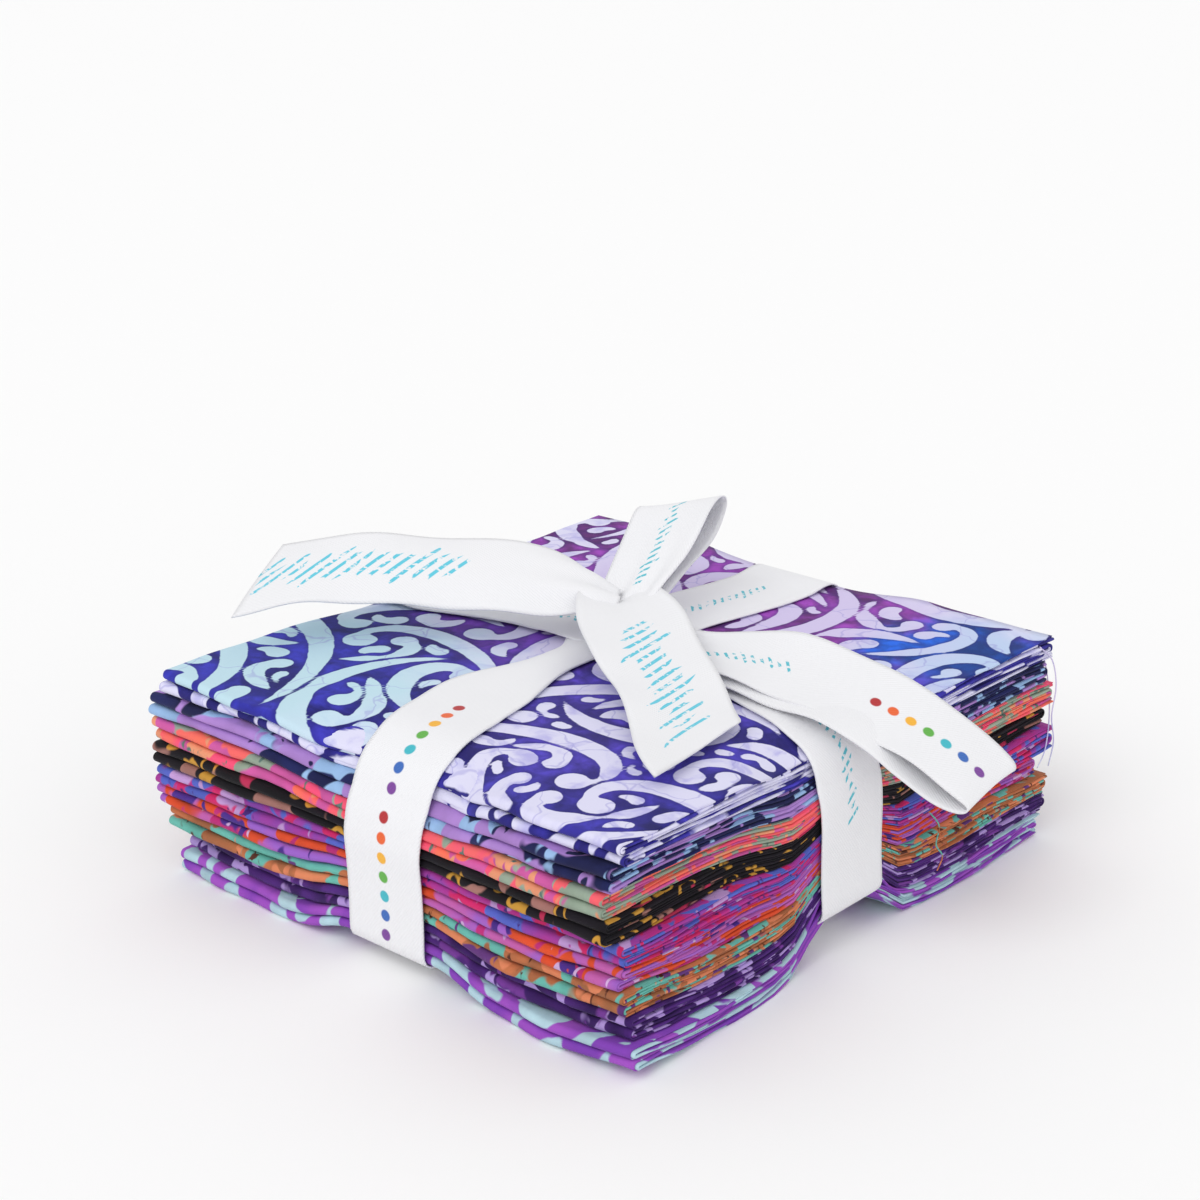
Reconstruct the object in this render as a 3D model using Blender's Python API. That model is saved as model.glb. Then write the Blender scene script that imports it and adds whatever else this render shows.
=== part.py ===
"""Fat quarter bundle: nine folded batik cloths, stacked and tied both ways with a white ribbon in a bow.

Units are millimetres until a mesh is written, which is in metres. +Z is up, and the stack stands on Z = 0
with its middle on the Z axis. The rolled folds face -X, and the layers' side edges face -Y.
"""
import math

import bmesh
import bpy
import numpy as np

MM = 0.001

# Stack: each cloth is folded back and forth into four layers.
STACK_X = 148.0
STACK_Y = 140.0
LAYERS = 4
LAYER = 1.15
FOLD_GAP = 0.24
CLOTH_GAP = 0.40
LAYER_PITCH = LAYER + FOLD_GAP
CLOTH_PITCH = LAYERS * LAYER + (LAYERS - 1) * FOLD_GAP + CLOTH_GAP
FOLD_SEGMENTS = 4

# Ribbon: one length, tied round the stack both ways. The crosswise band is a little cupped, so it is
# narrower, and it runs over a ridge where it crosses the lengthwise one.
RIBBON_WIDTH = 23.0
CUPPED_WIDTH = 21.5
RIBBON_THICK = 1.0
RIBBON_CLEAR = 0.50
RIDGE = 0.8
BAND_SPARE = 1.0
BAND_CORNER = 1.8
BAND_CORNER_STEPS = 3
CHANNEL_HALF = RIBBON_WIDTH / 2 + 2.0
CHANNEL_SLOPE = 13.0

# Where the ribbon nips an edge. Along the edge the nip is full under the ribbon (flat) and fades out past
# it (reach). Across the stack it starts this far from the middle. The underside lifts, the top drops, the
# side draws in, and the cloths' uneven edges come level by this share.
NIP_FLAT = 12.5
NIP_REACH = 24.0
NIP_START = 37.0
NIP_LIFT = {"left": 3.0, "right": 3.0, "front": 8.6, "back": 6.0}
NIP_DROP = 1.4
NIP_DRAW_IN = 1.6
NIP_EVEN = 0.85

# How far each cloth's edges stand out of the nominal stack, at the two ends of each side.
CLOTH_COLUMNS = (
    "name", "colour",
    "left_front", "left_back", "right_front", "right_back",
    "front_left", "front_right", "back_left", "back_right",
)
CLOTHS = (
    ("cloth_1_scroll", (0.105, 0.075, 0.42), 0.0, -0.5, 1.6, 0.5, 1.2, 0.4, 1.5, 1.0),
    ("cloth_2_navy", (0.024, 0.034, 0.13), 1.8, 2.2, -0.6, 1.0, -1.6, 0.6, 6.0, 3.0),
    ("cloth_3_coral", (0.62, 0.22, 0.24), 2.4, 1.6, 2.2, -0.5, -3.6, 1.0, 5.4, 2.0),
    ("cloth_4_black", (0.012, 0.010, 0.012), 1.2, 1.8, 0.8, 0.2, -3.0, -1.0, 6.0, 3.4),
    ("cloth_5_magenta", (0.42, 0.075, 0.34), 0.6, 1.4, 2.0, 1.2, 0.8, 1.4, 5.2, 1.2),
    ("cloth_6_lilac", (0.56, 0.17, 0.33), -0.2, 0.8, -1.0, 0.4, -0.4, -0.8, 5.8, 2.6),
    ("cloth_7_teal", (0.30, 0.33, 0.27), 0.4, 0.0, 0.6, 1.4, 0.6, 1.0, 3.6, 1.8),
    ("cloth_8_plum", (0.065, 0.022, 0.12), -1.2, -2.4, 1.4, -0.4, -1.4, 0.2, 1.0, 0.6),
    ("cloth_9_orchid", (0.36, 0.15, 0.52), 1.4, -1.2, 0.2, 1.0, 1.8, -0.2, 2.2, 2.0),
)
STACK_TOP = len(CLOTHS) * CLOTH_PITCH - CLOTH_GAP

# Stations across a cloth, measured from the middle of the stack.
MID_SLOPE = 24.0
STATIONS = (-NIP_START, -MID_SLOPE, -CHANNEL_HALF, CHANNEL_HALF, MID_SLOPE, NIP_START)

# The bow's four strips. Each row is a place on the strip's middle line, the heading and tilt in degrees
# of the direction across it, and its width there.
STRIP_COLUMNS = ("x", "y", "z", "across_yaw", "across_tilt", "width")
LARGE_LOOP = (
    (11.0, 5.0, 59.5, 8.0, 4.0, 14.0),
    (13.0, -12.0, 62.5, 6.0, 4.0, 19.0),
    (15.0, -35.0, 62.0, 6.0, 0.0, 22.0),
    (16.0, -57.0, 60.0, 5.0, -2.0, 23.0),
    (16.5, -74.0, 54.5, 4.0, -2.0, 23.0),
    (16.5, -86.0, 47.5, 4.0, 0.0, 22.5),
    (16.5, -93.0, 40.0, 4.0, 2.0, 22.0),
    (15.5, -92.0, 36.5, 4.0, 2.0, 22.0),
    (13.5, -85.5, 38.5, 5.0, 0.0, 22.0),
    (11.0, -78.5, 45.5, 6.0, 0.0, 22.0),
    (9.5, -71.5, 53.8, 6.0, 0.0, 22.0),
    (9.0, -60.0, 55.6, 6.0, 0.0, 21.0),
    (8.5, -36.0, 55.6, 6.0, 0.0, 19.0),
    (8.5, -14.0, 56.4, 8.0, 0.0, 16.0),
    (9.5, 1.0, 57.5, 8.0, 0.0, 13.0),
)
SMALL_LOOP = (
    (12.0, 6.0, 60.0, 108.0, -6.0, 14.0),
    (20.5, 8.0, 64.5, 107.0, -12.0, 18.0),
    (31.5, 11.5, 70.0, 106.0, -16.0, 22.0),
    (40.5, 14.5, 74.0, 105.0, -17.0, 23.0),
    (44.8, 15.5, 72.8, 105.0, -17.0, 23.0),
    (44.0, 15.0, 68.4, 105.0, -15.0, 23.0),
    (36.0, 12.5, 63.8, 105.0, -10.0, 22.0),
    (25.0, 9.5, 59.8, 106.0, -6.0, 18.0),
    (13.0, 6.5, 57.5, 107.0, -4.0, 13.0),
)
BACK_TAIL = (
    (10.0, 7.0, 59.5, 40.0, 0.0, 14.0),
    (1.0, 18.0, 62.2, 40.0, 14.0, 20.0),
    (-9.0, 33.0, 65.0, 40.0, 24.0, 23.0),
    (-22.0, 49.0, 67.0, 40.0, 25.0, 23.5),
    (-34.0, 61.5, 67.0, 37.0, 18.0, 24.5),
    (-44.5, 70.5, 65.5, 27.0, 11.0, 33.0),
)
FRONT_TAIL = (
    (10.5, 7.0, 60.5, -40.0, 0.0, 18.0),
    (3.5, -4.0, 62.0, -40.0, -2.0, 23.0),
    (-6.0, -17.0, 59.8, -40.0, 0.0, 24.0),
    (-16.5, -32.0, 56.6, -39.0, 0.0, 23.5),
    (-26.0, -44.5, 55.0, -28.0, 0.0, 24.5),
    (-35.5, -54.5, 54.2, 12.0, 0.0, 33.0),
)
STRIP_STEPS = 3

# Knot: a lump of wrapped ribbon, flat underneath, over the crossing of the two bands.
KNOT_PLACE = (10.5, 4.0, 57.0)
KNOT_SIZE = (27.0, 24.0, 12.4)
KNOT_TURN = math.radians(-40.0)
KNOT_PINCH = 0.16
KNOT_UNDERSIDE = -0.36
KNOT_RINGS = 6
KNOT_SIDES = 14

RIBBON_COLOUR = (0.90, 0.90, 0.92)
FABRIC_ROUGHNESS = 0.85
SHARP_FROM = math.radians(40.0)


def bell(distance):
    """One under the ribbon, falling smoothly to nothing over the nip's reach."""
    past = min(max((abs(distance) - NIP_FLAT) / NIP_REACH, 0.0), 1.0)
    return math.cos(past * math.pi / 2) ** 2


def edge_share(place, half):
    """Nothing in the middle of the stack, then a straight rise to one at its side."""
    return max(abs(place) - NIP_START, 0.0) / (half - NIP_START)


def nip(x, y, sides):
    """Lift of the underside at a place, from the four edges that the ribbon nips."""
    across_x = sides["left" if x < 0 else "right"] * bell(y) * edge_share(x, STACK_X / 2)
    across_y = sides["front" if y < 0 else "back"] * bell(x) * edge_share(y, STACK_Y / 2)
    return max(across_x, across_y)


def slope_off(distance):
    """One across the ribbon's channel, then a straight fall to nothing beside it."""
    past = min(max((abs(distance) - CHANNEL_HALF) / CHANNEL_SLOPE, 0.0), 1.0)
    return 1 - past


def channel(distance):
    """Depth of the hollow that one band presses into the cloth above it."""
    return (RIBBON_THICK + RIBBON_CLEAR) * slope_off(distance)


def settle(x, y, z):
    """Height of a point of the neat stack once the ribbon is drawn tight."""
    share = z / STACK_TOP
    lift = nip(x, y, NIP_LIFT) + channel(x) + channel(y)
    drop = NIP_DROP * nip(x, y, dict.fromkeys(NIP_LIFT, 1.0))
    return z + lift * (1 - share) - drop * share


def side_offset(first, last, share, along):
    """How far an edge stands out: uneven away from the ribbon, even and drawn in beneath it."""
    held = bell(along)
    uneven = first + (last - first) * share
    return uneven * (1 - NIP_EVEN * held) - NIP_DRAW_IN * held


def place_on_cloth(cloth, x, y, z):
    """Moves a point of the neat folded cloth to its place in the uneven, tied stack."""
    across, depth = x / STACK_X + 0.5, y / STACK_Y + 0.5
    x_side, y_side = ("left" if x < 0 else "right"), ("front" if y < 0 else "back")
    out_x = side_offset(cloth[x_side + "_front"], cloth[x_side + "_back"], depth, y)
    out_y = side_offset(cloth[y_side + "_left"], cloth[y_side + "_right"], across, x)
    new_x = x + out_x * edge_share(x, STACK_X / 2) * (-1 if x < 0 else 1)
    new_y = y + out_y * edge_share(y, STACK_Y / 2) * (-1 if y < 0 else 1)
    return new_x, new_y, settle(new_x, new_y, z)


def folded_section():
    """Middle line of the four layers, top one first, as (x, z, direction) with the folds as half circles."""
    radius = LAYER_PITCH / 2
    reach = STACK_X / 2 - radius - LAYER / 2
    rows = []
    for layer in range(LAYERS):
        z = LAYER / 2 + (LAYERS - 1 - layer) * LAYER_PITCH
        heading = math.pi if layer % 2 == 0 else 0.0
        side = -1 if layer % 2 == 0 else 1
        first = STACK_X / 2 if layer == 0 else -side * reach
        last = STACK_X / 2 if layer == LAYERS - 1 else side * reach
        inner = STATIONS if side > 0 else tuple(reversed(STATIONS))
        rows += [(x, z, heading) for x in (first, *inner, last)]
        if layer == LAYERS - 1:
            break
        for step in range(1, FOLD_SEGMENTS):
            turn = math.pi * step / FOLD_SEGMENTS
            x = side * (reach + radius * math.sin(turn))
            rows.append((x, z - radius * (1 - math.cos(turn)), heading - side * turn))
    return rows


def add_patch(bm, corners):
    """Two triangles that meet along the patch's lower diagonal, so stacked layers bend alike."""
    a, b, c, d = corners
    if a.co.z + c.co.z < b.co.z + d.co.z:
        bm.faces.new((a, b, c))
        bm.faces.new((a, c, d))
    else:
        bm.faces.new((b, c, d))
        bm.faces.new((b, d, a))


def thick_sheet(name, upper, lower, colour):
    """One closed solid between two grids of points, which share their rows and columns."""
    rows, columns = upper.shape[:2]
    mesh = bpy.data.meshes.new(name)
    bm = bmesh.new()
    tops = [[bm.verts.new(point * MM) for point in line] for line in upper]
    lows = [[bm.verts.new(point * MM) for point in line] for line in lower]
    for i in range(rows - 1):
        for j in range(columns - 1):
            add_patch(bm, (tops[i][j], tops[i + 1][j], tops[i + 1][j + 1], tops[i][j + 1]))
            add_patch(bm, (lows[i][j], lows[i][j + 1], lows[i + 1][j + 1], lows[i + 1][j]))
    rim = [(i, 0) for i in range(rows)] + [(rows - 1, j) for j in range(1, columns)]
    rim += [(i, columns - 1) for i in range(rows - 2, -1, -1)] + [(0, j) for j in range(columns - 2, 0, -1)]
    for (a, b), (c, d) in zip(rim, rim[1:] + rim[:1]):
        bm.faces.new((tops[a][b], lows[a][b], lows[c][d], tops[c][d]))
    bmesh.ops.recalc_face_normals(bm, faces=bm.faces)
    bm.to_mesh(mesh)
    bm.free()
    return add_object(name, mesh, colour)


def closed_band(name, outer, inner, colour):
    """One closed ring of ribbon between two grids whose last row joins the first."""
    rows, columns = outer.shape[:2]
    mesh = bpy.data.meshes.new(name)
    bm = bmesh.new()
    outs = [[bm.verts.new(point * MM) for point in line] for line in outer]
    ins = [[bm.verts.new(point * MM) for point in line] for line in inner]
    for i in range(rows):
        k = (i + 1) % rows
        for j in range(columns - 1):
            bm.faces.new((outs[i][j], outs[k][j], outs[k][j + 1], outs[i][j + 1]))
            bm.faces.new((ins[i][j], ins[i][j + 1], ins[k][j + 1], ins[k][j]))
        for j in (0, columns - 1):
            bm.faces.new((outs[i][j], ins[i][j], ins[k][j], outs[k][j]))
    bmesh.ops.recalc_face_normals(bm, faces=bm.faces)
    bm.to_mesh(mesh)
    bm.free()
    return add_object(name, mesh, colour)


def cloth_material(name, colour):
    material = bpy.data.materials.new(name)
    material.use_nodes = True
    shader = material.node_tree.nodes["Principled BSDF"]
    shader.inputs["Base Color"].default_value = (*colour, 1.0)
    shader.inputs["Roughness"].default_value = FABRIC_ROUGHNESS
    shader.inputs["Metallic"].default_value = 0.0
    return material


def add_object(name, mesh, colour):
    """Adds the mesh as an object with its own material, smooth but for its sharp edges."""
    mesh.shade_smooth()
    mesh.set_sharp_from_angle(angle=SHARP_FROM)
    mesh.materials.append(cloth_material(name + "_material", colour))
    thing = bpy.data.objects.new(name, mesh)
    bpy.context.collection.objects.link(thing)
    return thing


def build_cloth(cloth, base):
    """One cloth as a back-and-forth sheet, swept from the front edges to the back ones."""
    section = folded_section()
    ys = (-STACK_Y / 2, *STATIONS, STACK_Y / 2)
    upper = np.zeros((len(section), len(ys), 3))
    lower = np.zeros_like(upper)
    for i, (x, z, heading) in enumerate(section):
        out_x = math.sin(heading) * LAYER / 2
        out_z = -math.cos(heading) * LAYER / 2
        for j, y in enumerate(ys):
            upper[i, j] = place_on_cloth(cloth, x + out_x, y, base + z + out_z)
            lower[i, j] = place_on_cloth(cloth, x - out_x, y, base + z - out_z)
    return thick_sheet(cloth["name"], upper, lower, cloth["colour"])


def smooth_rows(table, steps):
    """Rows of a table with even steps between them, on a smooth curve through every row."""
    rows = np.array(table, dtype=float)
    padded = np.vstack([2 * rows[0] - rows[1], rows, 2 * rows[-1] - rows[-2]])
    out = []
    for i in range(1, len(padded) - 2):
        a, b, c, d = padded[i - 1:i + 3]
        for step in range(steps):
            t = step / steps
            out.append(0.5 * (2 * b + (c - a) * t + (2 * a - 5 * b + 4 * c - d) * t ** 2
                              + (3 * b - a - 3 * c + d) * t ** 3))
    return np.array(out + [rows[-1]])


def build_strip(name, table):
    """A length of ribbon along the rows of its table."""
    strip = dict(zip(STRIP_COLUMNS, smooth_rows(table, STRIP_STEPS).T))
    middle = np.stack([strip["x"], strip["y"], strip["z"]], axis=1)
    yaw, tilt = np.radians(strip["across_yaw"]), np.radians(strip["across_tilt"])
    across = np.stack([np.cos(tilt) * np.cos(yaw), np.cos(tilt) * np.sin(yaw), np.sin(tilt)], axis=1)
    normal = np.cross(np.gradient(middle, axis=0), across)
    normal *= (RIBBON_THICK / 2) / np.linalg.norm(normal, axis=1)[:, None]
    half = across * strip["width"][:, None] / 2
    edges = np.stack([middle - half, middle + half], axis=1)
    return thick_sheet(name, edges + normal[:, None], edges - normal[:, None], RIBBON_COLOUR)


def band_path(half_span, top_at, foot_at):
    """Middle line of a band round the stack, as (distance along the floor, height), with round corners."""
    side = half_span + RIBBON_CLEAR + RIBBON_THICK / 2 - NIP_DRAW_IN + BAND_SPARE
    flat_end = side - BAND_CORNER
    tops = [-flat_end, *STATIONS, flat_end]
    turns = [math.pi / 2 * step / BAND_CORNER_STEPS for step in range(BAND_CORNER_STEPS + 1)]

    def wall(sign):
        high, low = top_at(sign * flat_end), foot_at(sign * flat_end)
        upper = [(math.sin(turn), high - BAND_CORNER * (1 - math.cos(turn))) for turn in turns[1:]]
        under = [(math.cos(turn), low + BAND_CORNER * (1 - math.sin(turn))) for turn in turns[:-1]]
        return [(sign * (flat_end + BAND_CORNER * out), z) for out, z in upper + under]

    over = [(p, top_at(p)) for p in tops]
    beneath = [(p, foot_at(p)) for p in reversed(tops)]
    return over + wall(1) + beneath + wall(-1)[::-1]


def build_band(name, half_span, width, lengthwise, top_at, foot_at):
    """A closed band of ribbon, along X where lengthwise and along Y otherwise."""
    path = np.array(band_path(half_span, top_at, foot_at))
    along = np.roll(path, -1, axis=0) - np.roll(path, 1, axis=0)
    normal = np.stack([-along[:, 1], along[:, 0]], axis=1)
    normal /= np.linalg.norm(normal, axis=1)[:, None]
    grids = []
    for sign in (1, -1):
        line = path + sign * normal * RIBBON_THICK / 2
        edges = []
        for offset in (-width / 2, width / 2):
            cross = np.full(len(line), offset)
            columns = (line[:, 0], cross, line[:, 1]) if lengthwise else (cross, line[:, 0], line[:, 1])
            edges.append(np.stack(columns, axis=1))
        grids.append(np.stack(edges, axis=1))
    return closed_band(name, grids[0], grids[1], RIBBON_COLOUR)


def build_knot(name):
    """A rounded lump, flattened underneath, turned to lie across the two tails."""
    mesh = bpy.data.meshes.new(name)
    bm = bmesh.new()
    bmesh.ops.create_uvsphere(bm, u_segments=KNOT_SIDES, v_segments=KNOT_RINGS, radius=0.5)
    cos_turn, sin_turn = math.cos(KNOT_TURN), math.sin(KNOT_TURN)
    for vertex in bm.verts:
        x, y, z = vertex.co
        pinch = 1.0 - KNOT_PINCH * math.cos(2 * math.atan2(y, x))
        along, across = x * KNOT_SIZE[0] * pinch, y * KNOT_SIZE[1] * pinch
        vertex.co = (
            (KNOT_PLACE[0] + along * cos_turn - across * sin_turn) * MM,
            (KNOT_PLACE[1] + along * sin_turn + across * cos_turn) * MM,
            (KNOT_PLACE[2] + max(z, KNOT_UNDERSIDE) * KNOT_SIZE[2]) * MM,
        )
    bm.to_mesh(mesh)
    bm.free()
    return add_object(name, mesh, RIBBON_COLOUR)


def join_ribbon():
    """Both bands, the knot, the loops and the tails, as the one length of ribbon that they are."""
    rest = RIBBON_THICK / 2
    over = STACK_TOP + RIBBON_CLEAR + rest
    whole = build_band(
        "ribbon", STACK_X / 2, RIBBON_WIDTH, True,
        lambda p: over - NIP_DROP * edge_share(p, STACK_X / 2),
        lambda p: rest + nip(p, 0.0, NIP_LIFT),
    )
    guides = [
        build_band(
            "guide_crosswise_band", STACK_Y / 2, CUPPED_WIDTH, False,
            lambda p: over + RIDGE * slope_off(p) - NIP_DROP * edge_share(p, STACK_Y / 2),
            lambda p: rest + RIDGE * slope_off(p) + nip(0.0, p, NIP_LIFT),
        ),
        build_knot("guide_knot"),
        build_strip("guide_large_loop", LARGE_LOOP),
        build_strip("guide_small_loop", SMALL_LOOP),
        build_strip("guide_back_tail", BACK_TAIL),
        build_strip("guide_front_tail", FRONT_TAIL),
    ]
    for guide in guides:
        guide.hide_render = True
        guide.display_type = "WIRE"
        union = whole.modifiers.new("Join " + guide.name, "BOOLEAN")
        union.operation = "UNION"
        union.solver = "EXACT"
        union.object = guide
    return whole


def main():
    for thing in list(bpy.data.objects):
        bpy.data.objects.remove(thing)
    for number, row in enumerate(CLOTHS):
        cloth = dict(zip(CLOTH_COLUMNS, row))
        build_cloth(cloth, (len(CLOTHS) - 1 - number) * CLOTH_PITCH)
    join_ribbon()


main()
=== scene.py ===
"""Looks of the fat quarter bundle: nine folded batik cloths, tied both ways with a white twill ribbon.

Sizes are millimetres until a mesh is written, which is in metres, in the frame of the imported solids.
The cloths' rolled folds face -X and the side edges of their layers face -Y.
"""

import math

import bpy
import numpy as np
from mathutils import Matrix, Vector


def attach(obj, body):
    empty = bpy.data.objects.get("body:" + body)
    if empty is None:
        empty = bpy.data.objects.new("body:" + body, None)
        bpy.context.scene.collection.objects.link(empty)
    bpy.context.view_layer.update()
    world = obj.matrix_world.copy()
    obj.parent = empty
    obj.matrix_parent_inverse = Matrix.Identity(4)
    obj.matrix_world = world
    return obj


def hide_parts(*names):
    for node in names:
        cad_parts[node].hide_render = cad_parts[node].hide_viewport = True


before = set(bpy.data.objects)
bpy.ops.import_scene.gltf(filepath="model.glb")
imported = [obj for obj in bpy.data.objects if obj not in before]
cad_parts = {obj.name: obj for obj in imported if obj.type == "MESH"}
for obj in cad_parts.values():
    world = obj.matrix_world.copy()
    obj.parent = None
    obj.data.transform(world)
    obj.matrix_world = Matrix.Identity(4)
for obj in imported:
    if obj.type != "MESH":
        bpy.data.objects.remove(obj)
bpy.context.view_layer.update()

MM = 0.001

# The stack of cloths, as in the solids. Its edges stand out a little less than theirs, since its rolls
# are thinner. Each number in a cloth's row says how far one end of an edge stands out.
STACK_X = 148.0
STACK_Y = 140.0
LAYERS = 4
LAYER = 1.15
LAYER_PITCH = 1.39
CLOTH_PITCH = 5.72
CLOTH_GAP = 0.40
CLOTH_COLUMNS = (
    "name",
    "left_front", "left_back", "right_front", "right_back",
    "front_left", "front_right", "back_left", "back_right",
)
CLOTHS = (
    ("cloth_1_scroll", -0.8, -0.5, 1.6, 0.5, -2.2, 0.4, 1.5, 1.0),
    ("cloth_2_navy", 1.0, 1.2, -0.6, 1.0, -4.6, 0.6, 4.6, 3.0),
    ("cloth_3_coral", 1.2, 0.8, 2.2, -0.5, -6.4, 1.0, 4.2, 2.0),
    ("cloth_4_black", 0.8, 1.4, 0.8, 0.2, -5.6, -1.0, 4.8, 3.4),
    ("cloth_5_magenta", -1.6, 1.0, 2.0, 1.2, -3.4, 1.4, 4.2, 1.2),
    ("cloth_6_lilac", -1.4, 0.4, -1.0, 0.4, -3.6, -0.8, 4.8, 2.6),
    ("cloth_7_teal", -1.6, -0.4, 0.6, 1.4, -2.8, 1.0, 2.6, 1.8),
    ("cloth_8_plum", -3.0, -3.0, 1.4, -0.4, -1.8, 0.2, 0.4, 0.6),
    ("cloth_9_orchid", -0.6, -2.0, 0.2, 1.0, 0.6, -0.2, 1.2, 2.0),
)
STACK_TOP = len(CLOTHS) * CLOTH_PITCH - CLOTH_GAP

# Where the ribbon nips an edge, as in the solids, and the soft shoulder that it pulls in the top edge.
NIP_FLAT = 12.5
NIP_REACH = 24.0
NIP_START = 37.0
STEEP_FLAT = 11.0
STEEP_REACH = 12.5
STEEP_POWER = 2.8
NIP_LIFT = {"left": 3.4, "right": 3.0, "front": 9.6, "back": 6.0}
NIP_DROP = {"left": 1.2, "right": 0.2, "front": 1.0, "back": 0.2}
NIP_DRAW_IN = 1.6
NIP_EVEN = 0.85
CHANNEL_HALF = 13.5
CHANNEL_SLOPE = 13.0
CHANNEL_DEPTH = 1.5
SHOULDER = {"left": 7.5, "right": 0.2, "front": 5.0, "back": 0.2}
SHOULDER_REACH = 19.0
SHOULDER_POWER = 1.4
TOP_DRAW_IN = {"left": 5.5, "right": 1.0, "front": 4.0, "back": 1.0}
TOP_DRAW_FROM = 0.66
TOP_DRAW_POWER = 1.3
CORNER_LIFT = {"left": 0.3, "right": 0.6, "front": 2.4, "back": 0.6}
CORNER_REACH = 30.0
CORNER_POWER = 1.5

# The soft rise of the top between the bands and the edges: its height, and where it starts, is full,
# begins to fall and ends along each axis.
PUFF = 0.6
PUFF_ALONG_X = (8.0, 34.0, 44.0, 76.0)
PUFF_ALONG_Y = (8.0, 34.0, 40.0, 72.0)

# Slow unevenness of the layers: height, and waves as (turn per mm of X, of Y, of Z, start, share).
RIPPLE = 0.30
RIPPLE_WAVES = (
    (1 / 9.5, 0.0, 1 / 6.0, 0.6, 1.0),
    (0.0, 1 / 10.5, -1 / 7.5, 2.2, 1.0),
    (1 / 6.3, -1 / 6.3, 1 / 4.4, 4.0, 0.6),
)

# A cut cloth, and the three plies of each of its layers.
PLIES = 3
PLY_PITCH = 0.40
COTTON = 0.25
FOLD_STEPS = 10
PLY_FOLD_STEPS = 5
FOLD_CLEAR = 0.6
PLY_FOLD_CLEAR = 0.4

# How unevenly the rolls' ends and the cut edges lie, how far in that shows, and the bends in their lines
# as (length, share).
END_WANDER = 0.75
END_REACH = 24.0
EDGE_WANDER = 0.55
EDGE_REACH = 20.0
BENDS = ((90.0, 0.6), (41.0, 0.5), (19.0, 0.28))
SIDE_STRIP = 12.0


def srgb(code):
    """Linear colour from a hex code, with full alpha."""
    parts = [int(code[i:i + 2], 16) / 255 for i in (1, 3, 5)]
    return tuple(p / 12.92 if p <= 0.04045 else ((p + 0.055) / 1.055) ** 2.4 for p in parts) + (1.0,)


def ease(value, start, end):
    """Nothing at the start, then a smooth rise to one at the end."""
    share = np.clip((value - start) / (end - start), 0.0, 1.0)
    return share * share * (3 - 2 * share)


def distance_along(line):
    """How far along a line each of its points lies."""
    gaps = np.linalg.norm(np.diff(line, axis=0), axis=1)
    return np.concatenate([[0.0], np.cumsum(gaps)])


def bell(distance):
    """One under the ribbon, falling smoothly to nothing over the nip's reach."""
    past = np.clip((np.abs(distance) - NIP_FLAT) / NIP_REACH, 0.0, 1.0)
    return np.cos(past * math.pi / 2) ** 2


def steep(distance):
    """One under the ribbon, falling at once and then levelling out, as the front's lowest layers do."""
    past = np.clip((np.abs(distance) - STEEP_FLAT) / STEEP_REACH, 0.0, 1.0)
    return (1 - past) ** STEEP_POWER


def edge_share(place, half):
    """Nothing in the middle of the stack, then a smooth rise to one at its side."""
    share = np.maximum(np.abs(place) - NIP_START, 0.0) / (half - NIP_START)
    return share * share * (2 - share)


def at_edges(x, y, amounts, at_front):
    """Amounts at the four edges that the ribbon nips, shared out over the stack."""
    ends = np.where(x < 0, amounts["left"], amounts["right"]) * bell(y)
    sides = np.where(y < 0, amounts["front"] * at_front(x), amounts["back"] * bell(x))
    return ends * edge_share(x, STACK_X / 2) + sides * edge_share(y, STACK_Y / 2)


def channel(distance):
    """Depth of the hollow that one band presses into the cloth above it."""
    return CHANNEL_DEPTH * (1 - ease(np.abs(distance), CHANNEL_HALF, CHANNEL_HALF + CHANNEL_SLOPE))


def shoulder(x, y):
    """How far the ribbon pulls the stack's top edge down into a soft shoulder."""
    near_x = ease(np.abs(x), STACK_X / 2 - SHOULDER_REACH, STACK_X / 2) ** SHOULDER_POWER
    near_y = ease(np.abs(y), STACK_Y / 2 - SHOULDER_REACH, STACK_Y / 2) ** SHOULDER_POWER
    return (bell(y) * near_x * np.where(x < 0, SHOULDER["left"], SHOULDER["right"])
            + bell(x) * near_y * np.where(y < 0, SHOULDER["front"], SHOULDER["back"]))


def puff(x, y):
    """Soft rise of the top between the two bands and the edges."""
    rise = PUFF
    for away, (starts, full, falls, ends) in ((np.abs(x), PUFF_ALONG_X), (np.abs(y), PUFF_ALONG_Y)):
        rise = rise * ease(away, starts, full) * (1 - ease(away, falls, ends))
    return rise


def ripple(x, y, z):
    """Slow unevenness of the layers inside the stack, nothing at its top and bottom."""
    share = z / STACK_TOP
    waves = sum(part * np.sin(x * per_x + y * per_y + z * per_z + start)
                for per_x, per_y, per_z, start, part in RIPPLE_WAVES)
    return RIPPLE * waves * 4 * share * (1 - share)


def corner_lift(x, y):
    """How far the bottom corners curl up off the surface, named as they lie in the photo."""
    away = np.hypot(np.abs(x) - STACK_X / 2, np.abs(y) - STACK_Y / 2)
    near = np.where(y < 0, CORNER_LIFT["front"], CORNER_LIFT["left"])
    far = np.where(y < 0, CORNER_LIFT["right"], CORNER_LIFT["back"])
    return np.where(x < 0, near, far) * (1 - ease(away, 0.0, CORNER_REACH)) ** CORNER_POWER


def settle(x, y, z):
    """Height of a point of the neat stack once the ribbon is drawn tight."""
    share = z / STACK_TOP
    lift = at_edges(x, y, NIP_LIFT, steep) + channel(x) + channel(y) + corner_lift(x, y) * (1 - share)
    drop = at_edges(x, y, NIP_DROP, bell) + (shoulder(x, y) - puff(x, y)) * share
    return z + lift * (1 - share) - drop * share + ripple(x, y, z)


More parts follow.
